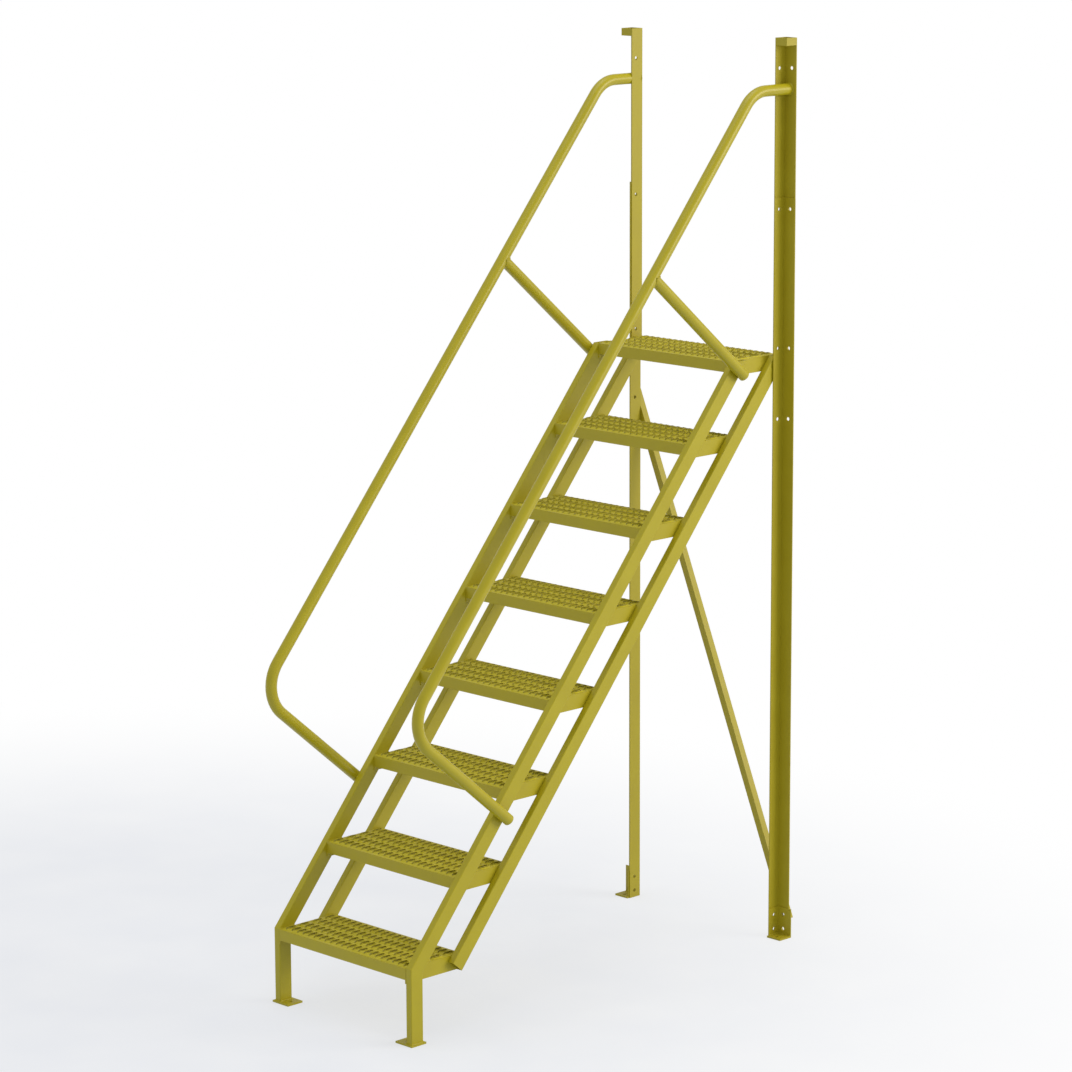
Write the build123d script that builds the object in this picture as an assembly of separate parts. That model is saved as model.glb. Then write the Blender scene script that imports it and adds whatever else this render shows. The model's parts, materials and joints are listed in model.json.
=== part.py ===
from build123d import *
import os
from math import cos, floor, hypot, radians, sin, tan

# Steel crossover stair: one steep flight that ends in an open passage between two tall rear posts.
# Millimetres. X runs to a climber's right, Y is the way up the flight and Z is up.
# The origin is on the floor, in the middle of the stair's width and depth.

# Flight
tread_rise = 254.0
tread_count = 8
slope_degrees = 50.0

# Treads
tread_width = 609.6
tread_depth = 241.3
tread_bar_thick = 3.2
tread_bar_height = 38.1
tread_end_height = 50.8
deck_thick = 4.0
deck_border = 4.0
diamond_wide = 17.5
diamond_long = 47.6
diamond_pitch_across = 27.0
diamond_pitch_deep = 57.15

# Rectangular tube of the stringers and front legs
tube_wide = 25.4
tube_deep = 50.8
tube_wall = 2.1
tube_inner_corner = 1.1
rear_stringer_setback = 152.4

# Plates under the front legs
leg_plate_thick = 6.35
leg_plate_overhang = 6.35
leg_plate_reach = 44.45

# Round tube of the handrails and their struts
rail_diameter = 38.1
rail_wall = 2.1
rail_standoff = 526.1
rail_top_height = 914.4
rail_bend_radius = 121.0
rail_foot_reach = 583.6
strut_nose_drop = 18.5

# Rear posts, each of two nested steel angles
angle_thick = 3.2
post_leg = 50.8
upper_post_height = 1066.8
upper_post_lap = 12.7
lower_post_height = 533.4
collar_height = 25.4

# Feet of the rear posts
foot_angle_height = 101.6
foot_angle_leg = 60.3
foot_plate_thick = 6.35
foot_plate_deep = 57.6
foot_anchor_margin = 15.9

# Bolt holes
hole_diameter = 12.7
hole_gauge = 30.6
foot_hole_level = 25.4
foot_hole_pitch = 50.8
brace_hole_drop = 215.9
splice_low_hole = 25.4
splice_high_hole_drop = 38.1
barrier_hole_drop = 101.6

# Diagonal brace behind the posts
brace_leg = 25.4
brace_end_margin = 19.05

# Values that follow from the sizes above
slope = radians(slope_degrees)
tread_run = tread_rise / tan(slope)
top_level = tread_count * tread_rise
flight_depth = (tread_count - 1) * tread_run + tread_depth
post_back_y = (flight_depth + leg_plate_overhang + angle_thick - brace_leg) / 2
first_nose_y = post_back_y - flight_depth
stringer_inner_x = tread_width / 2
stringer_outer_x = stringer_inner_x + tube_wide
rail_radius = rail_diameter / 2
rail_x = stringer_outer_x + rail_radius
rail_level = top_level + rail_top_height - rail_radius
upper_post_top = top_level + upper_post_height
lower_post_top = top_level + lower_post_height
hole_x = stringer_outer_x + hole_gauge
hole_y = post_back_y - hole_gauge
foot_hole_levels = [foot_hole_level, foot_hole_level + foot_hole_pitch]
splice_hole_levels = [top_level + splice_low_hole, lower_post_top - splice_high_hole_drop]
brace_hole_level = top_level - brace_hole_drop


def nose_line_y(level):
    """Y of the front stringers' front face, which the tread noses touch, at one height."""
    return first_nose_y + (level - tread_rise) / tan(slope)


def slope_point(x, reach, depth):
    """Point up the slope from the first nose by reach, and behind the nose line by depth."""
    y = first_nose_y + reach * cos(slope) + depth * sin(slope)
    z = tread_rise + reach * sin(slope) - depth * cos(slope)
    return (x, y, z)


def up_slope(x, reach, depth):
    """Plane square to the slope; its own y points behind the stringers."""
    return Plane(origin=slope_point(x, reach, depth), x_dir=(1, 0, 0), z_dir=(0, cos(slope), sin(slope)))


def tube_section():
    """Section of the rectangular tube, its long side in y, with its front face on y = 0."""
    outer = RectangleRounded(tube_wide, tube_deep, tube_wall + tube_inner_corner)
    inner = RectangleRounded(tube_wide - 2 * tube_wall, tube_deep - 2 * tube_wall, tube_inner_corner)
    return Pos(tube_wide / 2, tube_deep / 2) * (outer - inner)


def angle_section(leg_x, leg_y, thick):
    """Section of a steel angle with its heel at the origin, one leg along x and one along -y."""
    points = [(0, 0), (0, -leg_y), (thick, -leg_y), (thick, -thick), (leg_x, -thick), (leg_x, 0)]
    return Polygon(*points, align=None)


def drill(solid, x, y, levels):
    """Bolt holes through both legs of an upright angle."""
    drill_length = 2 * max(post_leg, foot_angle_leg)
    for level in levels:
        solid -= Pos(x, post_back_y, level) * Rot(90, 0, 0) * Cylinder(hole_diameter / 2, drill_length)
        solid -= Pos(stringer_outer_x, y, level) * Rot(0, 90, 0) * Cylinder(hole_diameter / 2, drill_length)
    return solid


def tread_frame(number):
    """Nosing bar, rear bar and two deeper end plates round one tread."""
    outline = Rectangle(tread_width, tread_depth)
    middle = Rectangle(tread_width - 2 * tread_bar_thick, tread_depth - 2 * tread_bar_thick)
    frame = extrude(outline - middle, -tread_end_height)
    below_bars = Box(
        tread_width - 2 * tread_bar_thick,
        tread_depth,
        tread_end_height,
        align=(Align.CENTER, Align.CENTER, Align.MAX),
    )
    frame -= Pos(0, 0, -tread_bar_height) * below_bars
    return tread_place(number) * frame


def tread_deck(number):
    """Pressed sheet in the frame: straight rows of diamond openings, long way front to back."""
    wide = tread_width - 2 * tread_bar_thick
    deep = tread_depth - 2 * tread_bar_thick
    columns = 1 + floor((wide - 2 * deck_border - diamond_wide) / diamond_pitch_across)
    rows = 1 + floor((deep - 2 * deck_border - diamond_long) / diamond_pitch_deep)
    diamond = Polygon(
        (diamond_wide / 2, 0),
        (0, diamond_long / 2),
        (-diamond_wide / 2, 0),
        (0, -diamond_long / 2),
    )
    places = GridLocations(diamond_pitch_across, diamond_pitch_deep, columns, rows)
    sheet = Rectangle(wide, deep) - [place * diamond for place in places]
    return tread_place(number) * extrude(sheet, -deck_thick)


def tread_place(number):
    """Centre of the top of one tread, counted from 1 at the bottom."""
    level = number * tread_rise
    return Pos(0, nose_line_y(level) + tread_depth / 2, level)


def front_stringer():
    """Front tube of the right side: mitred on its leg below, cut level with the top tread above."""
    spare = tube_deep
    length = (top_level - tread_rise) / sin(slope) + 2 * spare
    tube = extrude(up_slope(stringer_inner_x, -spare, 0) * tube_section(), length)
    tube = split(tube, bisect_by=mitre_plane(), keep=Keep.TOP)
    level_cut = Plane(origin=(0, 0, top_level), z_dir=(0, 0, 1))
    return split(tube, bisect_by=level_cut, keep=Keep.BOTTOM)


def front_leg():
    """Upright tube under the front stringer, from its plate to the mitre at the first nose."""
    base = Plane(origin=(stringer_inner_x, first_nose_y, leg_plate_thick))
    tube = extrude(base * tube_section(), tread_rise)
    return split(tube, bisect_by=mitre_plane(), keep=Keep.BOTTOM)


def mitre_plane():
    """Plane through the first nose that halves the corner between leg and stringer."""
    half_turn = (radians(90) - slope) / 2
    return Plane(origin=(0, first_nose_y, tread_rise), z_dir=(0, sin(half_turn), cos(half_turn)))


def rear_stringer():
    """Rear tube of the right side, from the foot of the first tread's end plate to the posts' back."""
    rear_face = rear_stringer_setback + tube_deep
    lowest = tread_rise - tread_end_height
    start = (lowest - tread_rise + rear_face * cos(slope)) / sin(slope)
    length = (top_level - lowest) / sin(slope) + tube_deep
    tube = extrude(up_slope(stringer_inner_x, start, rear_stringer_setback) * tube_section(), length)
    level_cut = Plane(origin=(0, 0, top_level), z_dir=(0, 0, 1))
    back_cut = Plane(origin=(0, post_back_y, 0), z_dir=(0, 1, 0))
    tube = split(tube, bisect_by=level_cut, keep=Keep.BOTTOM)
    return split(tube, bisect_by=back_cut, keep=Keep.BOTTOM)


def front_foot_plate():
    """Plate under a front leg, reaching inward past it with one floor anchor hole."""
    wide = leg_plate_reach + tube_wide + leg_plate_overhang
    deep = tube_deep + 2 * leg_plate_overhang
    inner_x = stringer_inner_x - leg_plate_reach
    hole = Pos(leg_plate_reach / 2, deep / 2) * Circle(hole_diameter / 2)
    outline = Rectangle(wide, deep, align=(Align.MIN, Align.MIN)) - hole
    return Pos(inner_x, first_nose_y - leg_plate_overhang) * extrude(outline, leg_plate_thick)


def upper_post():
    """Outer angle, welded to the top of the rear stringer and standing up past the handrail."""
    bottom = top_level - upper_post_lap
    section = Pos(stringer_outer_x, post_back_y, bottom) * angle_section(post_leg, post_leg, angle_thick)
    post = extrude(section, upper_post_top - bottom)
    return drill(post, hole_x, hole_y, [*splice_hole_levels, upper_post_top - barrier_hole_drop])


def lower_post():
    """Angle nested inside the upper one, from the floor to well above the top tread."""
    corner = Pos(stringer_outer_x + angle_thick, post_back_y - angle_thick)
    post = extrude(corner * angle_section(post_leg, post_leg, angle_thick), lower_post_top)
    return drill(post, hole_x, hole_y, [*foot_hole_levels, brace_hole_level, *splice_hole_levels])


def post_collar():
    """Short angle that closes the upper post's open corner into a square at its top."""
    corner = Pos(stringer_outer_x + post_leg, post_back_y - post_leg, upper_post_top)
    closing_leg = post_leg - angle_thick
    section = Rot(0, 0, 180) * angle_section(closing_leg, closing_leg, angle_thick)
    return extrude(corner * section, -collar_height)


def post_foot_angle():
    """Wide angle inside the foot of the lower post, standing on its floor plate."""
    corner = Pos(stringer_outer_x + 2 * angle_thick, post_back_y - 2 * angle_thick, foot_plate_thick)
    section = angle_section(foot_angle_leg, post_leg, angle_thick)
    angle = extrude(corner * section, foot_angle_height - foot_plate_thick)
    return drill(angle, hole_x, hole_y, foot_hole_levels)


def post_base_plate():
    """Floor plate inside the foot of the lower post, with one anchor hole near its front."""
    corner = Pos(stringer_outer_x + 2 * angle_thick, post_back_y - 2 * angle_thick)
    hole = Pos(foot_angle_leg / 2, foot_anchor_margin - foot_plate_deep) * Circle(hole_diameter / 2)
    outline = Rectangle(foot_angle_leg, foot_plate_deep, align=(Align.MIN, Align.MAX)) - hole
    return corner * extrude(outline, foot_plate_thick)


def rail_path():
    """Centre line of the right handrail, from its foot on the stringer to the post."""
    foot = slope_point(rail_x, rail_foot_reach, tube_deep)
    low_corner = slope_point(rail_x, rail_foot_reach, -rail_standoff)
    high_corner_y = nose_line_y(rail_level) - rail_standoff / sin(slope)
    high_corner = (rail_x, high_corner_y, rail_level)
    post_end = (rail_x, post_back_y - angle_thick, rail_level)
    return FilletPolyline(foot, low_corner, high_corner, post_end, radius=rail_bend_radius)


def rail_sweep(section):
    """Section swept along the right handrail's centre line."""
    path = rail_path()
    return sweep(Plane(origin=path @ 0, z_dir=path % 0) * section, path=path)


def handrail():
    """Bent round tube, notched round the upper post's leg where it ends."""
    ring = Circle(rail_radius) - Circle(rail_radius - rail_wall)
    return rail_sweep(ring) - upper_post()


def handrail_strut():
    """Straight tube from the stringer's side, shaped to the underside of the handrail."""
    reach = (top_level - tread_rise) / sin(slope) - strut_nose_drop
    foot = slope_point(rail_x, reach, tube_deep)
    away_from_stringer = (0, -sin(slope), cos(slope))
    ring = Circle(rail_radius) - Circle(rail_radius - rail_wall)
    tube = extrude(Plane(origin=foot, z_dir=away_from_stringer) * ring, rail_standoff + tube_deep)
    return tube - rail_sweep(Circle(rail_radius))


def rear_brace():
    """Angle bolted flat behind the lower posts, from the left one's top to the right one's foot."""
    low_x = hole_x
    high_x = -hole_x
    low_z = foot_hole_levels[-1]
    rise = brace_hole_level - low_z
    span = hypot(high_x - low_x, rise)
    bolt_line = Plane(
        origin=(low_x, post_back_y - angle_thick, low_z),
        x_dir=(rise / span, 0, (low_x - high_x) / span),
        z_dir=((high_x - low_x) / span, 0, rise / span),
    )
    heel = Pos(brace_leg / 2, 0, -brace_end_margin)
    section = Rot(0, 0, 180) * angle_section(brace_leg, brace_leg, angle_thick)
    brace = extrude(bolt_line * heel * section, span + 2 * brace_end_margin)
    for x, z in ((low_x, low_z), (high_x, brace_hole_level)):
        brace -= Pos(x, post_back_y, z) * Rot(90, 0, 0) * Cylinder(hole_diameter / 2, 4 * angle_thick)
    return brace


right_side = {
    "front_stringer": front_stringer,
    "rear_stringer": rear_stringer,
    "front_leg": front_leg,
    "front_foot_plate": front_foot_plate,
    "lower_post": lower_post,
    "upper_post": upper_post,
    "post_collar": post_collar,
    "post_foot_angle": post_foot_angle,
    "post_base_plate": post_base_plate,
    "handrail": handrail,
    "handrail_strut": handrail_strut,
}

os.makedirs("parts", exist_ok=True)
for name, make in right_side.items():
    piece = make()
    export_step(piece, f"parts/{name}_right.step")
    export_step(mirror(piece, about=Plane.YZ), f"parts/{name}_left.step")
for number in range(1, tread_count + 1):
    export_step(tread_frame(number), f"parts/tread_frame_{number}.step")
    export_step(tread_deck(number), f"parts/tread_deck_{number}.step")
export_step(rear_brace(), "parts/rear_brace.step")
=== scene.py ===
import json
import logging
import math
from collections.abc import Callable, Iterable
from dataclasses import dataclass, field
from enum import Enum

import bpy
from mathutils import Matrix, Vector

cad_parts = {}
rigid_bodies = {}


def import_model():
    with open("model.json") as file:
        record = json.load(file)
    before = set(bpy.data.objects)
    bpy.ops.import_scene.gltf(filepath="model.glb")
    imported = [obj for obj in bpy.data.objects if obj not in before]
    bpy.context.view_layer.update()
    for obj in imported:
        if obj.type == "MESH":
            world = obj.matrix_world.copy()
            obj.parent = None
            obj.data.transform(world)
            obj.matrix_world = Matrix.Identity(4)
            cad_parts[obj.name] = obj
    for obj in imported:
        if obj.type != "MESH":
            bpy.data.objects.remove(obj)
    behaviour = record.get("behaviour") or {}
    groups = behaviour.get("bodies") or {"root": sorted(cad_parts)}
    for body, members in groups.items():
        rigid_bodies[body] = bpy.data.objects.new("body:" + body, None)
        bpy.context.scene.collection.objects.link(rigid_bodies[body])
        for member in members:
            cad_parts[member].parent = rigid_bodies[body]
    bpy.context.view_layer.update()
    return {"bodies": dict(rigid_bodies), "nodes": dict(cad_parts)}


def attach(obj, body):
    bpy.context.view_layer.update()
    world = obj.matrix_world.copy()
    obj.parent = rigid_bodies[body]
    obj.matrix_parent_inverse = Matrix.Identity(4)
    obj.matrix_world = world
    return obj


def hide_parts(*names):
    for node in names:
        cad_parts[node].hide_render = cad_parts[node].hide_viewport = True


LOG = logging.getLogger("crossover_stair")
MM_PER_METRE = 1000
WHITE = "#FFFFFF"


class PaintSlot(Enum):
    """The record's material slots, one for each group of painted steel."""

    STRINGERS = "stringer_paint"
    RAILS = "rail_paint"
    POSTS = "post_paint"
    TREADS = "tread_paint"


class Side(Enum):
    """The two sides of the flight; the value is the sign of X there."""

    LEFT = -1
    RIGHT = 1


def metres(millimetres: float) -> float:
    """Turns a length in millimetres into metres."""
    return millimetres / MM_PER_METRE


def per_metre(millimetres: float) -> float:
    """Gives the texture scale at which one feature of the pattern is that many millimetres long."""
    return MM_PER_METRE / millimetres


def linear(hex_colour: str, alpha: float = 1.0) -> tuple[float, float, float, float]:
    """Turns an sRGB hex colour into the linear values that a shader takes.

    The bare numbers in it are those of the sRGB standard.

    Args:
        hex_colour: Colour as "#RRGGBB".
        alpha: Opacity, kept as it is.

    Returns:
        Linear red, green and blue, and the opacity.
    """
    channels = (int(hex_colour[i : i + 2], 16) / 255 for i in (1, 3, 5))
    red, green, blue = (c / 12.92 if c <= 0.04045 else ((c + 0.055) / 1.055) ** 2.4 for c in channels)
    return (red, green, blue, alpha)


def add_node(
    tree: bpy.types.NodeTree,
    kind: str,
    inputs: dict[str | int, object] | None = None,
    settings: dict[str, object] | None = None,
) -> bpy.types.Node:
    """Adds one shader node with its settings, its values and its links.

    Args:
        tree: Node tree that gets the node.
        kind: Blender's name for the node type.
        inputs: Value or source socket for each named or numbered input.
        settings: Value for each property of the node itself.

    Returns:
        The new node.
    """
    node = tree.nodes.new(kind)
    for name, value in (settings or {}).items():
        setattr(node, name, value)
    for name, value in (inputs or {}).items():
        if isinstance(value, bpy.types.NodeSocket):
            tree.links.new(value, node.inputs[name])
        else:
            node.inputs[name].default_value = value
    return node


def new_material(name: str) -> tuple[bpy.types.Material, bpy.types.NodeTree, bpy.types.Node]:
    """Makes an empty node material.

    Args:
        name: Name of the material.

    Returns:
        The material, its node tree and its output node.
    """
    material = bpy.data.materials.new(name)
    material.use_nodes = True
    material.node_tree.nodes.clear()
    output = add_node(material.node_tree, "ShaderNodeOutputMaterial")
    return material, material.node_tree, output


@dataclass(frozen=True)
class SprayedEnamel:
    """Semi-gloss alkyd enamel sprayed on mild steel.

    The wet film levels into a faint orange peel, so highlights are broad with a slightly
    uneven edge, and the yellow shifts a little where the film is thinner.
    """

    name: str
    colour: str = "#BBAF19"
    thin_film_colour: str = "#B0A213"
    roughness: float = 0.42
    roughness_spread: float = 0.08
    specular_level: float = 0.45
    film_patch_mm: float = 90.0
    film_detail: float = 4.0
    film_harshness: float = 0.55
    # Noise values at which the sheen is that of the thinnest and of the fullest film.
    thin_film_at: float = 0.3
    full_film_at: float = 0.7
    # Real orange peel is about 2 mm from crest to crest. It is drawn at 7 mm, because 2 mm is
    # finer than a pixel from where the stair is seen whole.
    peel_mm: float = 7.0
    peel_depth_mm: float = 0.03
    peel_detail: float = 2.0
    # Mill scale and shallow dents of the rolled steel, which the paint film doesn't fill.
    rolled_patch_mm: float = 24.0
    rolled_depth_mm: float = 0.05
    rolled_detail: float = 3.0

    def material(self) -> bpy.types.Material:
        """Builds the node material of this coat of enamel.

        Returns:
            The material, tinted by the film's thickness and bumped by the steel and the peel.
        """
        material, tree, output = new_material(self.name)
        place = add_node(tree, "ShaderNodeTexCoord").outputs["Object"]
        patches = add_node(
            tree,
            "ShaderNodeTexNoise",
            {
                "Vector": place,
                "Scale": per_metre(self.film_patch_mm),
                "Detail": self.film_detail,
                "Roughness": self.film_harshness,
            },
        )
        film = add_node(
            tree,
            "ShaderNodeMix",
            {
                "Factor": patches.outputs["Fac"],
                "A": linear(self.thin_film_colour),
                "B": linear(self.colour),
            },
            {"data_type": "RGBA"},
        )
        sheen = add_node(
            tree,
            "ShaderNodeMapRange",
            {
                "Value": patches.outputs["Fac"],
                "From Min": self.thin_film_at,
                "From Max": self.full_film_at,
                "To Min": self.roughness - self.roughness_spread / 2,
                "To Max": self.roughness + self.roughness_spread / 2,
            },
        )
        peel = add_node(
            tree,
            "ShaderNodeTexNoise",
            {"Vector": place, "Scale": per_metre(self.peel_mm), "Detail": self.peel_detail},
        )
        rolled = add_node(
            tree,
            "ShaderNodeTexNoise",
            {"Vector": place, "Scale": per_metre(self.rolled_patch_mm), "Detail": self.rolled_detail},
        )
        steel = add_node(
            tree,
            "ShaderNodeBump",
            {"Height": rolled.outputs["Fac"], "Strength": 1.0, "Distance": metres(self.rolled_depth_mm)},
        )
        surface = add_node(
            tree,
            "ShaderNodeBump",
            {
                "Height": peel.outputs["Fac"],
                "Strength": 1.0,
                "Distance": metres(self.peel_depth_mm),
                "Normal": steel.outputs["Normal"],
            },
        )
        enamel = add_node(
            tree,
            "ShaderNodeBsdfPrincipled",
            {
                "Base Color": film.outputs["Result"],
                "Roughness": sheen.outputs["Result"],
                "Specular IOR Level": self.specular_level,
                "Normal": surface.outputs["Normal"],
            },
        )
        tree.links.new(enamel.outputs["BSDF"], output.inputs["Surface"])
        return material


@dataclass(frozen=True)
class StudioFloor:
    """Matt pale blue paper laid on the studio floor.

    The camera and reflections see it as white far from the stair. Near it a share of the
    paper's own lit colour comes through, so that soft, cool and pale shadows show there.
    """

    name: str = "studio_floor_paper"
    colour: str = "#BCC6DC"
    pale_colour: str = "#DDE2EC"
    # The paper has its full share up to shadow_to_m from this point, and none from shadow_from_m on.
    shade_centre: tuple[float, float, float] = (-0.9, -1.1, 0.0)
    shadow_share: float = 0.37
    shadow_from_m: float = 4.0
    shadow_to_m: float = 1.2
    grain_mm: float = 400.0

    def material(self) -> bpy.types.Material:
        """Builds the floor: white to the camera and in reflections, with the object's shadow kept.

        Returns:
            The material of the floor.
        """
        material, tree, output = new_material(self.name)
        place = add_node(tree, "ShaderNodeTexCoord").outputs["Object"]
        grain = add_node(tree, "ShaderNodeTexNoise", {"Vector": place, "Scale": per_metre(self.grain_mm)})
        tint = add_node(
            tree,
            "ShaderNodeMix",
            {"Factor": grain.outputs["Fac"], "A": linear(self.colour), "B": linear(self.pale_colour)},
            {"data_type": "RGBA"},
        )
        paper = add_node(tree, "ShaderNodeBsdfDiffuse", {"Color": tint.outputs["Result"]})
        light = add_node(tree, "ShaderNodeEmission", {"Color": linear(WHITE), "Strength": 1.0})
        seen = add_node(tree, "ShaderNodeLightPath")
        looked_at = add_node(
            tree,
            "ShaderNodeMath",
            {0: seen.outputs["Is Camera Ray"], 1: seen.outputs["Is Glossy Ray"]},
            {"operation": "MAXIMUM"},
        )
        through = add_node(
            tree,
            "ShaderNodeMath",
            {0: looked_at.outputs["Value"], 1: seen.outputs["Is Transmission Ray"]},
            {"operation": "MAXIMUM"},
        )
        distance = add_node(
            tree, "ShaderNodeVectorMath", {0: place, 1: self.shade_centre}, {"operation": "DISTANCE"}
        )
        near = add_node(
            tree,
            "ShaderNodeMapRange",
            {
                "Value": distance.outputs["Value"],
                "From Min": self.shadow_to_m,
                "From Max": self.shadow_from_m,
                "To Min": 1 - self.shadow_share,
                "To Max": 1.0,
            },
            {"interpolation_type": "SMOOTHSTEP"},
        )
        share = add_node(
            tree,
            "ShaderNodeMath",
            {0: through.outputs["Value"], 1: near.outputs["Result"]},
            {"operation": "MULTIPLY"},
        )
        mixed = add_node(
            tree,
            "ShaderNodeMixShader",
            {0: share.outputs["Value"], 1: paper.outputs["BSDF"], 2: light.outputs["Emission"]},
        )
        tree.links.new(mixed.outputs["Shader"], output.inputs["Surface"])
        return material


@dataclass(frozen=True)
class StairSetting:
    """Sizes of the CAD stair that welds and treads are set out from, in millimetres."""

    tread_rise: float = 254.0
    tread_count: int = 8
    slope_degrees: float = 50.0
    tread_width: float = 609.6
    tread_depth: float = 241.3
    tread_bar_thick: float = 3.2
    first_nose_y: float = -874.52
    post_back_y: float = 858.68
    tube_wide: float = 25.4
    tube_deep: float = 50.8
    rear_stringer_setback: float = 152.4
    leg_plate_thick: float = 6.35
    rail_diameter: float = 38.1
    rail_standoff: float = 526.1
    rail_foot_reach: float = 583.6
    rail_level: float = 2927.35
    strut_nose_drop: float = 18.5
    post_leg: float = 50.8
    angle_thick: float = 3.2
    foot_angle_leg: float = 60.3
    foot_plate_thick: float = 6.35
    hole_gauge: float = 30.6
    brace_hole_drop: float = 215.9

    @property
    def slope(self) -> float:
        """Slope of the flight in radians."""
        return math.radians(self.slope_degrees)

    @property
    def inner_x(self) -> float:
        """Distance of the stringers' inner faces from the middle."""
        return self.tread_width / 2

    @property
    def outer_x(self) -> float:
        """Distance of the stringers' outer faces from the middle."""
        return self.inner_x + self.tube_wide

    @property
    def rail_x(self) -> float:
        """Distance of the handrails' centre lines from the middle."""
        return self.outer_x + self.rail_diameter / 2

    @property
    def top_level(self) -> float:
        """Height of the top tread."""
        return self.tread_count * self.tread_rise

    def nose_y(self, level: float) -> float:
        """Y of the line of tread noses at one height."""
        return self.first_nose_y + (level - self.tread_rise) / math.tan(self.slope)

    def slope_point(self, x: float, reach: float, depth: float) -> Vector:
        """Gives a point in metres by its distances up the slope and behind the nose line.

        Args:
            x: Distance to a climber's right, in millimetres.
            reach: Distance up the slope from the first nose, in millimetres.
            depth: Distance behind the nose line, in millimetres.

        Returns:
            The point in the row frame, in metres.
        """
        y = self.first_nose_y + reach * math.cos(self.slope) + depth * math.sin(self.slope)
        z = self.tread_rise + reach * math.sin(self.slope) - depth * math.cos(self.slope)
        return Vector((x, y, z)) / MM_PER_METRE


def new_piece(
    name: str,
    vertices: Iterable[Vector | tuple[float, float, float]],
    faces: Iterable[tuple[int, ...]],
    material: bpy.types.Material,
) -> bpy.types.Object:
    """Makes a mesh object from its vertices and faces.

    Args:
        name: Name of the piece.
        vertices: Corners in metres.
        faces: Corner numbers of each face.
        material: Finish of the whole piece.

    Returns:
        The object, linked to the scene.
    """
    mesh = bpy.data.meshes.new(name)
    mesh.from_pydata([tuple(v) for v in vertices], [], list(faces))
    mesh.materials.append(material)
    mesh.validate()
    piece = bpy.data.objects.new(name, mesh)
    bpy.context.scene.collection.objects.link(piece)
    return piece


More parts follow.
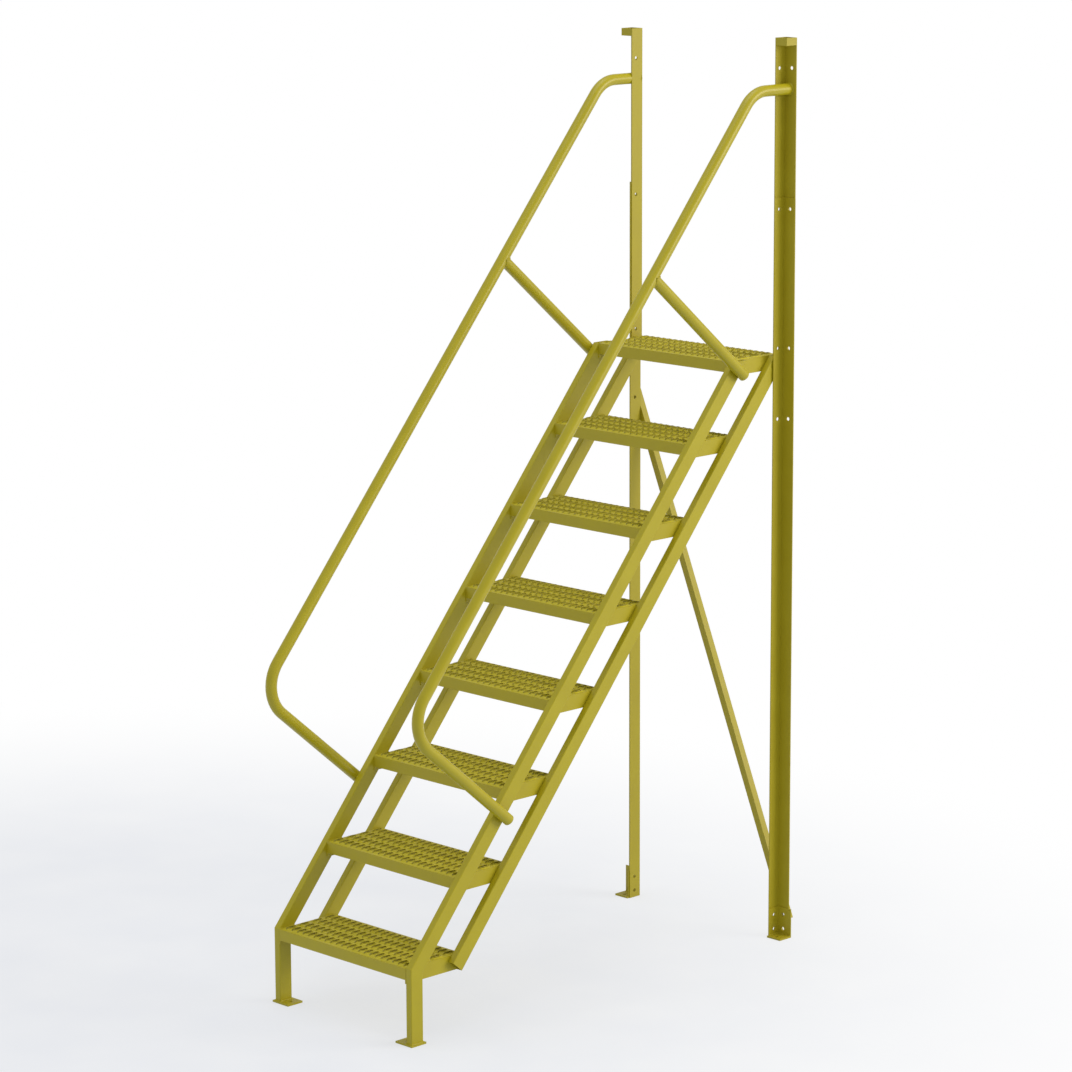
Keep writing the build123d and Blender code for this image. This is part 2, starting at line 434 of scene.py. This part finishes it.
@dataclass
class DiamondStrutTread:
    """Tread plank pressed from one sheet: rows of diamond openings between raised, toothed struts.

    The sheet is slit and drawn apart, so the metal beside each opening turns on edge: it stands
    above the plain bridges between the rows, ends in small teeth and reaches down below them.
    """

    stair: StairSetting
    # Coat on top of the planks, lightened as painted light.
    finish: bpy.types.Material
    # Dark coat on the walls of the openings: painted shade.
    opening_painted_shade: bpy.types.Material
    rows: int = 4
    columns: int = 22
    row_pitch: float = 57.15
    column_pitch: float = 27.0
    opening_long: float = 47.6
    opening_wide: float = 14.5
    blunt_ends: float = 1.6
    steep_ends: float = 5.0
    strut_rise: float = 5.0
    valley_depth: float = 2.2
    # Depth below the strut tops from which the walls of the openings get the painted shade.
    rim_above_painted_shade: float = 0.5
    skirt_drop: float = 2.5
    sheet_thick: float = 1.9
    tooth_height: float = 1.2
    steps_per_row: int = 16
    # Points across the top of a strut, as shares of half its width, and those added at each edge.
    across: tuple[float, ...] = (-1.0, -0.88, -0.6, 0.0, 0.6, 0.88, 1.0)
    edge_points: int = 2
    stitch_gap: float = 0.05

    def stations(self) -> list[tuple[float, float, int]]:
        """Lists the cross-sections from nose to back.

        Returns:
            For each one its y from the middle of the tread, how far it is from the tips of the
            diamonds as a share of half their length, and 1 on a tooth or 0 beside it.
        """
        half_deep = self.stair.tread_depth / 2 - self.stair.tread_bar_thick
        found = [(-half_deep, 0.0, 0)]
        for row in range(self.rows):
            middle = (row - (self.rows - 1) / 2) * self.row_pitch
            for step in range(self.steps_per_row + 1):
                along = 2 * step / self.steps_per_row - 1
                found.append((middle + along * self.opening_long / 2, 1 - abs(along), step % 2))
        found.append((half_deep, 0.0, 0))
        return found

    def section(self, number: int, inside: float, tooth: int) -> list[tuple[float, float]]:
        """Gives the section of one strut, from the opening on its left to the one on its right.

        Args:
            number: Strut counted from 0 at the left end.
            inside: Distance from the tips of the diamonds, as a share of half their length.
            tooth: 1 on a tooth and 0 beside it.

        Returns:
            X and z of each point, in millimetres. At each end come the foot of the edge that hangs in the
            opening and the line below which the wall gets the dark coat of painted shade.
        """
        half_width = self.stair.tread_width / 2 - self.stair.tread_bar_thick
        half_gap = min(1.0, self.blunt_ends * inside) * self.opening_wide / 2
        lift = min(1.0, self.steep_ends * inside)
        first = -(self.columns - 1) / 2 * self.column_pitch
        left = first + (number - 1) * self.column_pitch + half_gap if number else -half_width
        right = first + number * self.column_pitch - half_gap if number < self.columns else half_width
        middle, half = (left + right) / 2, (right - left) / 2
        points = []
        for share in self.across:
            at_wall = (share < 0 and number == 0) or (share > 0 and number == self.columns)
            height = self.strut_rise - self.valley_depth * (1 - share**4)
            if abs(share) == 1.0:
                height += tooth * self.tooth_height
            points.append((middle + share * half, 0.0 if at_wall else lift * height))
        for height in (lift * (self.strut_rise - self.rim_above_painted_shade), -lift * self.skirt_drop):
            points.insert(0, (left, height if number else 0.0))
            points.append((right, height if number < self.columns else 0.0))
        return points

    def surface(self) -> bpy.types.Mesh:
        """Builds the pressed sheet, with its thickness, about the middle of the tread's top.

        Returns:
            The mesh that all planks share.
        """
        vertices: list[tuple[float, float, float]] = []
        faces: list[tuple[int, ...]] = []
        in_painted_shade: list[int] = []
        stations = self.stations()
        wide = len(self.across) + 2 * self.edge_points
        for number in range(self.columns + 1):
            start = len(vertices)
            for y, inside, tooth in stations:
                points = self.section(number, inside, tooth)
                vertices += [(metres(x), metres(y), metres(z)) for x, z in points]
            for row in range(len(stations) - 1):
                for column in range(wide - 1):
                    corner = start + row * wide + column
                    faces.append((corner, corner + 1, corner + wide + 1, corner + wide))
                    # The outermost strips are the walls of the openings, below the rim: their dark coat is
                    # painted shade.
                    in_painted_shade.append(int(column in (0, wide - 2)))
        sheet = new_piece("tread_sheet", vertices, faces, self.finish)
        # The second material is the painted shade on the walls of the openings.
        sheet.data.materials.append(self.opening_painted_shade)
        sheet.data.polygons.foreach_set("material_index", in_painted_shade)
        weld = sheet.modifiers.new("stitch", "WELD")
        weld.merge_threshold = metres(self.stitch_gap)
        thick = sheet.modifiers.new("gauge", "SOLIDIFY")
        thick.thickness = metres(self.sheet_thick)
        thick.offset = -1.0
        thick.use_even_offset = False
        graph = bpy.context.evaluated_depsgraph_get()
        made = bpy.data.meshes.new_from_object(sheet.evaluated_get(graph))
        bpy.data.objects.remove(sheet)
        made.name = "diamond_strut_plank"
        return made

    def build(self, root: str) -> list[bpy.types.Object]:
        """Sets a pressed plank in each tread's frame, in place of the plain CAD deck.

        Args:
            root: Body that the treads ride on.

        Returns:
            The planks, lowest first.
        """
        mesh = self.surface()
        pieces = []
        for number in range(1, self.stair.tread_count + 1):
            level = number * self.stair.tread_rise
            middle_y = self.stair.nose_y(level) + self.stair.tread_depth / 2
            piece = bpy.data.objects.new(f"tread_plank_{number}", mesh)
            bpy.context.scene.collection.objects.link(piece)
            piece.location = Vector((0, middle_y, level)) / MM_PER_METRE
            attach(piece, root)
            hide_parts(f"tread_deck_{number}")
            pieces.append(piece)
        return pieces


@dataclass
class WeldRun:
    """Fillet welds of one group of joints, laid as small overlapping ripples and painted over."""

    name: str
    finish: bpy.types.Material
    slot: PaintSlot
    bead_radius: float = 2.6
    ripple_pitch: float = 2.4
    ripple_height: float = 0.35
    end_share: float = 0.35
    sides: int = 8
    least_steps: int = 4
    # No bead runs along this direction, so its cross product with a bead is never zero.
    off_every_bead: tuple[float, float, float] = (0.37, 0.21, 0.9)
    vertices: list[Vector] = field(default_factory=list)
    faces: list[tuple[int, ...]] = field(default_factory=list)

    def lay(self, path: list[Vector], closed: bool = False) -> None:
        """Lays one bead along a path.

        Args:
            path: Points in metres.
            closed: True where the bead runs back to its own start.
        """
        points = self.even_points(path + path[:1] if closed else path)
        if closed:
            points = points[:-1]
        count = len(points)
        start = len(self.vertices)
        for i, point in enumerate(points):
            ahead = points[(i + 1) % count] if closed or i + 1 < count else point
            behind = points[i - 1] if closed or i else point
            along = (ahead - behind).normalized()
            across = along.cross(Vector(self.off_every_bead)).normalized()
            other = along.cross(across)
            # Crest and hollow take turns, because the points are half a ripple apart.
            swell = self.ripple_height * (0.5 + 0.5 * math.cos(math.pi * i))
            at_end = not closed and i in (0, count - 1)
            radius = metres((self.bead_radius + swell) * (self.end_share if at_end else 1.0))
            for k in range(self.sides):
                turn = math.tau * k / self.sides
                self.vertices.append(point + radius * (math.cos(turn) * across + math.sin(turn) * other))
        for i in range(count if closed else count - 1):
            near, far = start + i * self.sides, start + (i + 1) % count * self.sides
            for k in range(self.sides):
                turned = (k + 1) % self.sides
                self.faces.append((near + k, near + turned, far + turned, far + k))
        if not closed:
            self.faces.append(tuple(start + k for k in reversed(range(self.sides))))
            self.faces.append(tuple(start + (count - 1) * self.sides + k for k in range(self.sides)))

    def even_points(self, path: list[Vector]) -> list[Vector]:
        """Divides a path into steps of half a ripple.

        Args:
            path: Corner points in metres.

        Returns:
            Evenly spaced points along it, both ends kept.
        """
        lengths = [(b - a).length for a, b in zip(path, path[1:])]
        total = sum(lengths)
        # Four steps to each pair of ripples.
        count = max(self.least_steps, 4 * round(total / metres(self.ripple_pitch) / 2))
        found, run, leg = [], 0.0, 0
        for i in range(count + 1):
            target = total * i / count
            while leg < len(lengths) - 1 and run + lengths[leg] < target:
                run += lengths[leg]
                leg += 1
            found.append(path[leg].lerp(path[leg + 1], min(1.0, (target - run) / lengths[leg])))
        return found

    def build(self, root: str) -> bpy.types.Object:
        """Makes the beads laid so far into one piece.

        Args:
            root: Body that the piece rides on.

        Returns:
            The piece.
        """
        piece = new_piece(self.name, self.vertices, self.faces, self.finish)
        piece.data.polygons.foreach_set("use_smooth", [True] * len(piece.data.polygons))
        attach(piece, root)
        return piece


@dataclass
class FlightWelds:
    """Welds that join the flight's treads, legs and plates on one side."""

    stair: StairSetting
    side: Side
    finishes: dict[PaintSlot, bpy.types.Material]
    fillet: float = 1.4

    def x(self, distance: float) -> float:
        """Signed X in metres of a distance from the middle, on this side."""
        return metres(self.side.value * distance)

    def run(self, joint: str, slot: PaintSlot) -> WeldRun:
        """Starts the run of one joint on this side, with no bead in it yet."""
        return WeldRun(f"{joint}_{self.side.name.lower()}", self.finishes[slot], slot)

    def tread_welds(self) -> WeldRun:
        """Beads along the top edges of the treads' end plates, where the stringers' inner faces stand up.

        Returns:
            The run with its beads.
        """
        run = self.run("tread_welds", PaintSlot.TREADS)
        stair = self.stair
        x = self.x(stair.inner_x - self.fillet)
        crossing = stair.tube_deep / math.sin(stair.slope)
        for number in range(1, stair.tread_count):
            level = number * stair.tread_rise
            for setback in (0.0, stair.rear_stringer_setback):
                start = stair.nose_y(level) + setback / math.sin(stair.slope)
                end = min(start + crossing, stair.nose_y(level) + stair.tread_depth)
                run.lay([Vector((x, metres(y), metres(level))) for y in (start, end)])
        return run

    def leg_welds(self) -> WeldRun:
        """Bead round the foot of the front leg, on its floor plate.

        Returns:
            The run with its bead.
        """
        run = self.run("leg_weld", PaintSlot.STRINGERS)
        stair = self.stair
        front, back = stair.first_nose_y, stair.first_nose_y + stair.tube_deep
        corners = (
            (stair.inner_x, front),
            (stair.outer_x, front),
            (stair.outer_x, back),
            (stair.inner_x, back),
        )
        level = metres(stair.leg_plate_thick)
        run.lay([Vector((self.x(a), metres(b), level)) for a, b in corners], closed=True)
        return run

    def post_welds(self) -> WeldRun:
        """Bead inside the foot angle of the rear post, where it stands on its floor plate.

        Returns:
            The run with its bead.
        """
        run = self.run("post_weld", PaintSlot.POSTS)
        stair = self.stair
        # Upper post, lower post and foot angle are nested, each one thickness further in.
        inset = 3 * stair.angle_thick
        inner_x, inner_y = stair.outer_x + inset, stair.post_back_y - inset
        tip_x = stair.outer_x + 2 * stair.angle_thick + stair.foot_angle_leg
        tip_y = stair.post_back_y - 2 * stair.angle_thick - stair.post_leg
        corners = ((inner_x, tip_y), (inner_x, inner_y), (tip_x, inner_y))
        run.lay([Vector((self.x(a), metres(b), metres(stair.foot_plate_thick))) for a, b in corners])
        return run


@dataclass
class BraceBolt:
    """Seven-sixteenths inch hexagon bolt and nut at the brace's upper end, painted over with the post.

    The photograph shows the other holes open, but no light comes through the one that the
    brace is fixed to.
    """

    stair: StairSetting
    finish: bpy.types.Material
    head_flats: float = 15.9
    head_height: float = 7.4
    nut_flats: float = 17.5
    nut_height: float = 9.5
    shank_diameter: float = 11.1
    shank_end: float = 3.5
    chamfer: float = 1.0
    points_round: int = 24

    def ring(self, along: float, size: float, hexagon: bool) -> list[Vector]:
        """Gives one cross-section of the bolt, about its own axis.

        Args:
            along: Distance along the bolt in millimetres, from where the head seats.
            size: Width across the flats of a hexagon, or the diameter of a circle.
            hexagon: True for a hexagon with a flat on each side.

        Returns:
            The points of the section in metres.
        """
        sixth = math.tau / 6
        points = []
        for i in range(self.points_round):
            turn = math.tau * i / self.points_round
            off_flat = (turn + sixth / 2) % sixth - sixth / 2
            radius = size / 2 / (math.cos(off_flat) if hexagon else 1.0)
            x, z = radius * math.cos(turn), radius * math.sin(turn)
            points.append(Vector((x, along, z)) / MM_PER_METRE)
        return points

    def build(self, root: str) -> bpy.types.Object:
        """Turns the bolt as one closed form, from the head to the end of the thread.

        Args:
            root: Body that the bolt rides on.

        Returns:
            The bolt, in the brace's upper hole.
        """
        stair = self.stair
        grip = 2 * stair.angle_thick
        nut_end = grip + self.nut_height
        shank = self.shank_diameter
        sections = (
            (-self.head_height, self.head_flats - self.chamfer, False),
            (self.chamfer - self.head_height, self.head_flats, True),
            (0.0, self.head_flats, True),
            (0.0, shank, False),
            (grip, shank, False),
            (grip, self.nut_flats, True),
            (nut_end - self.chamfer, self.nut_flats, True),
            (nut_end, self.nut_flats - self.chamfer, False),
            (nut_end, shank, False),
            (nut_end + self.shank_end - self.chamfer, shank, False),
            (nut_end + self.shank_end, shank - 2 * self.chamfer, False),
        )
        vertices = [point for along, size, hexagon in sections for point in self.ring(along, size, hexagon)]
        wide = self.points_round
        faces: list[tuple[int, ...]] = [tuple(range(wide))]
        for row in range(len(sections) - 1):
            for i in range(wide):
                near, turned = row * wide + i, row * wide + (i + 1) % wide
                faces.append((near, near + wide, turned + wide, turned))
        faces.append(tuple(reversed(range(len(vertices) - wide, len(vertices)))))
        piece = new_piece("brace_bolt", vertices, faces, self.finish)
        x = Side.LEFT.value * (stair.outer_x + stair.hole_gauge)
        seat = stair.post_back_y - grip
        level = stair.top_level - stair.brace_hole_drop
        piece.location = Vector((x, seat, level)) / MM_PER_METRE
        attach(piece, root)
        return piece


@dataclass
class RailWelds:
    """Welds that hold one handrail and its strut."""

    stair: StairSetting
    side: Side
    finish: bpy.types.Material
    touch_offset: float = 6.0
    stringer_gap: float = 1.0
    saddle_gap: float = 0.6
    saddle_points: int = 48
    post_ring_points: int = 40

    def lines_on_stringer(self, run: WeldRun, reach: float) -> None:
        """Lays the two beads where a round tube lies against the stringer's outer face.

        Args:
            run: Weld run that gets the beads.
            reach: Distance of the tube's centre line up the slope, in millimetres.
        """
        stair = self.stair
        x = self.side.value * (stair.outer_x + self.stringer_gap)
        for offset in (-self.touch_offset, self.touch_offset):
            run.lay([stair.slope_point(x, reach + offset, depth) for depth in (0.0, stair.tube_deep)])

    def ring_under_rail(self, run: WeldRun, reach: float) -> None:
        """Lays the saddle-shaped bead where the strut meets the underside of the handrail.

        Args:
            run: Weld run that gets the bead.
            reach: Distance of the strut's centre line up the slope, in millimetres.
        """
        stair = self.stair
        centre = stair.slope_point(self.side.value * stair.rail_x, reach, -stair.rail_standoff)
        along = Vector((0, math.cos(stair.slope), math.sin(stair.slope)))
        down = Vector((0, math.sin(stair.slope), -math.cos(stair.slope)))
        radius = metres(stair.rail_diameter / 2 + self.saddle_gap)
        ring = []
        for i in range(self.saddle_points):
            turn = math.tau * i / self.saddle_points
            around = math.cos(turn) * along + math.sin(turn) * Vector((1, 0, 0))
            ring.append(centre + radius * around + radius * abs(math.cos(turn)) * down)
        run.lay(ring, closed=True)

    def ring_at_post(self, run: WeldRun) -> None:
        """Lays the bead round the handrail's end where it butts against the post.

        Args:
            run: Weld run that gets the bead.
        """
        stair = self.stair
        radius = stair.rail_diameter / 2
        y = stair.post_back_y - stair.angle_thick
        ring = []
        for i in range(self.post_ring_points):
            turn = math.tau * i / self.post_ring_points
            x = self.side.value * (stair.rail_x + radius * math.cos(turn))
            z = stair.rail_level + radius * math.sin(turn)
            ring.append(Vector((x, y, z)) / MM_PER_METRE)
        run.lay(ring, closed=True)

    def build(self, root: str) -> bpy.types.Object:
        """Lays all of this handrail's welds and makes them one piece.

        Args:
            root: Body that the welds ride on.

        Returns:
            The piece.
        """
        run = WeldRun(f"rail_welds_{self.side.name.lower()}", self.finish, PaintSlot.RAILS)
        stair = self.stair
        strut_reach = (stair.top_level - stair.tread_rise) / math.sin(stair.slope) - stair.strut_nose_drop
        self.lines_on_stringer(run, stair.rail_foot_reach)
        self.lines_on_stringer(run, strut_reach)
        self.ring_under_rail(run, strut_reach)
        self.ring_at_post(run)
        return run.build(root)


@dataclass
class PaintedFrame:
    """The CAD steelwork, dressed slot by slot in enamel."""

    nodes: dict[str, bpy.types.Object]
    slots: dict[str, PaintSlot] = field(
        default_factory=lambda: {
            "front_stringer": PaintSlot.STRINGERS,
            "rear_stringer": PaintSlot.STRINGERS,
            "front_leg": PaintSlot.STRINGERS,
            "front_foot_plate": PaintSlot.STRINGERS,
            "handrail": PaintSlot.RAILS,
            "tread": PaintSlot.TREADS,
            "rear_brace": PaintSlot.POSTS,
            "lower_post": PaintSlot.POSTS,
            "upper_post": PaintSlot.POSTS,
            "post": PaintSlot.POSTS,
        }
    )

    def slot_of(self, name: str) -> PaintSlot:
        """Finds the paint slot of a CAD node from how its name begins."""
        return next(slot for start, slot in self.slots.items() if name.startswith(start))

    def dress(self, finishes: dict[PaintSlot, bpy.types.Material]) -> None:
        """Puts the enamel of its slot on every CAD node.

        Args:
            finishes: Material of each slot.
        """
        for name, node in sorted(self.nodes.items()):
            slot = self.slot_of(name)
            for material_slot in node.material_slots:
                material_slot.material = finishes[slot]
            LOG.info("%s painted as %s", name, slot.value)


@dataclass(frozen=True)
class SoftBox:
    """Large studio lamp behind a diffuser, so that shadows have wide soft edges."""

    name: str
    place: tuple[float, float, float]
    target: tuple[float, float, float]
    width: float
    height: float
    level: float
    colour: str = WHITE

    def build(self) -> bpy.types.Object:
        """Hangs the lamp and turns it to its target.

        Returns:
            The lamp, linked to the scene.
        """
        reach = Vector(self.target) - Vector(self.place)
        light = bpy.data.lights.new(self.name, "AREA")
        light.shape = "RECTANGLE"
        light.size, light.size_y = self.width, self.height
        # With this power a white surface at the target, turned to the lamp, is as bright as the level.
        light.energy = math.pi**2 * reach.length_squared * self.level
        light.color = linear(self.colour)[:3]
        lamp = bpy.data.objects.new(self.name, light)
        lamp.location = self.place
        lamp.rotation_mode = "QUATERNION"
        lamp.rotation_quaternion = reach.to_track_quat("-Z", "Y")
        bpy.context.scene.collection.objects.link(lamp)
        return lamp


@dataclass
class Studio:
    """Plain white studio: floor, even sky and soft lamps."""

    sky_level: float = 0.58
    sky_colour: str = WHITE
    floor_radius: float = 160.0
    floor_points: int = 64
    lamps: tuple[SoftBox, ...] = (
        SoftBox("key_lamp", (8.5, 6.6, 4.6), (0.0, 0.0, 1.4), 6.0, 4.5, 0.47, "#FFF6E2"),
        SoftBox("overhead_lamp", (0.0, 0.0, 10.0), (0.0, 0.0, 1.4), 6.0, 6.0, 0.28),
    )

    def floor(self) -> bpy.types.Object:
        """Lays a round sheet, far wider than the view, at floor level.

        Returns:
            The sheet, staged.
        """
        count = self.floor_points
        turns = [math.tau * i / count for i in range(count)]
        rim = [Vector((math.cos(turn), math.sin(turn), 0)) * self.floor_radius for turn in turns]
        sheet = new_piece("studio_floor", rim, [tuple(range(count))], StudioFloor().material())
        return sheet

    def sky(self) -> None:
        """Gives an even light from all round, which the camera sees as white."""
        world = bpy.data.worlds.new("studio_sky")
        bpy.context.scene.world = world
        world.use_nodes = True
        tree = world.node_tree
        tree.nodes.clear()
        seen = add_node(tree, "ShaderNodeLightPath")
        looked_at = add_node(
            tree,
            "ShaderNodeMath",
            {0: seen.outputs["Is Camera Ray"], 1: seen.outputs["Is Transmission Ray"]},
            {"operation": "MAXIMUM"},
        )
        light = add_node(
            tree, "ShaderNodeBackground", {"Color": linear(self.sky_colour), "Strength": self.sky_level}
        )
        white = add_node(tree, "ShaderNodeBackground", {"Color": linear(WHITE), "Strength": 1.0})
        mixed = add_node(
            tree,
            "ShaderNodeMixShader",
            {0: looked_at.outputs["Value"], 1: light.outputs["Background"], 2: white.outputs["Background"]},
        )
        add_node(tree, "ShaderNodeOutputWorld", {"Surface": mixed.outputs["Shader"]})

    def build(self) -> None:
        """Sets up the floor, the sky and every lamp."""
        self.floor()
        self.sky()
        for lamp in self.lamps:
            lamp.build()
            LOG.info("%s hung", lamp.name)


@dataclass(frozen=True)
class StationCamera:
    """Long-lens camera in front of the stair, to its right and above it, level but for a slight roll."""

    place: tuple[float, float, float] = (9.0430, -8.8835, 3.9906)
    azimuth: float = 45.474
    elevation: float = 11.187
    roll: float = -0.2155
    lens: float = 131.07
    sensor: float = 36.0
    clip_near: float = 0.1
    clip_far: float = 600.0

    def build(self) -> bpy.types.Object:
        """Sets the camera up and makes it the scene's own.

        Returns:
            The camera.
        """
        a, e, r = (math.radians(v) for v in (self.azimuth, self.elevation, self.roll))
        back = Vector((math.sin(a) * math.cos(e), -math.cos(a) * math.cos(e), math.sin(e)))
        level = Vector((math.cos(a), math.sin(a), 0))
        upright = back.cross(level)
        right = level * math.cos(r) + upright * math.sin(r)
        up = upright * math.cos(r) - level * math.sin(r)
        data = bpy.data.cameras.new("station_camera")
        data.lens = self.lens
        data.sensor_width = self.sensor
        data.sensor_fit = "HORIZONTAL"
        data.clip_start, data.clip_end = self.clip_near, self.clip_far
        camera = bpy.data.objects.new("station_camera", data)
        turn = Matrix((right, up, back)).transposed().to_4x4()
        camera.matrix_world = Matrix.Translation(self.place) @ turn
        bpy.context.scene.collection.objects.link(camera)
        bpy.context.scene.camera = camera
        return camera


def paint_finishes() -> dict[PaintSlot, bpy.types.Material]:
    """Mixes each slot's enamel: one yellow, a shade apart on tube and tread, with painted shade on the
    angle.

    Returns:
        The material of each slot.
    """
    coats = {
        PaintSlot.STRINGERS: SprayedEnamel("stringer_enamel"),
        PaintSlot.RAILS: SprayedEnamel("rail_enamel", roughness=0.34, rolled_patch_mm=40.0),
        # Darker and browner than the tube's coat: painted shade, for the shade in the posts' inner corners.
        PaintSlot.POSTS: SprayedEnamel(
            "post_enamel_painted_shade", colour="#B6A91E", thin_film_colour="#AB9C19", roughness=0.46
        ),
        PaintSlot.TREADS: SprayedEnamel(
            "tread_enamel", colour="#BEB11E", thin_film_colour="#B3A419", roughness=0.46, film_patch_mm=60.0
        ),
    }
    return {slot: coat.material() for slot, coat in coats.items()}


def plank_coat_painted_light() -> bpy.types.Material:
    """Mixes the coat on top of the planks, a little lighter than the treads' frames as painted light.

    Returns:
        The material.
    """
    # Lighter than the tread coat: painted light, for the light that the raised strut tops catch.
    coat = SprayedEnamel(
        "plank_enamel_painted_light",
        colour="#CABE24",
        thin_film_colour="#C0B21D",
        roughness=0.44,
        film_patch_mm=60.0,
    )
    return coat.material()


def opening_painted_shade() -> bpy.types.Material:
    """Mixes the dark coat on the walls of the tread openings: painted shade for the shade deep in them.

    Returns:
        The material.
    """
    coat = SprayedEnamel(
        "tread_opening_painted_shade",
        colour="#554D0A",
        thin_film_colour="#3A3405",
        roughness=0.60,
        specular_level=0.3,
        film_patch_mm=30.0,
    )
    return coat.material()


def main() -> None:
    """Builds the dressed stair piece by piece, with its studio and camera."""
    logging.basicConfig(level=logging.INFO, format="%(name)s: %(message)s")
    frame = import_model()
    root = next(iter(frame["bodies"]))
    stair = StairSetting()
    finishes = paint_finishes()
    PaintedFrame(frame["nodes"]).dress(finishes)
    for piece in DiamondStrutTread(stair, plank_coat_painted_light(), opening_painted_shade()).build(root):
        LOG.info("%s set in its frame", piece.name)
    for side in Side:
        flight = FlightWelds(stair, side, finishes)
        makers: tuple[Callable[[str], bpy.types.Object], ...] = (
            flight.tread_welds().build,
            flight.leg_welds().build,
            flight.post_welds().build,
            RailWelds(stair, side, finishes[PaintSlot.RAILS]).build,
        )
        for make in makers:
            LOG.info("%s laid", make(root).name)
    LOG.info("%s tightened", BraceBolt(stair, finishes[PaintSlot.POSTS]).build(root).name)
    Studio().build()
    StationCamera().build()
    bpy.context.scene.view_settings.view_transform = "Standard"


if __name__ == "__main__":
    main()
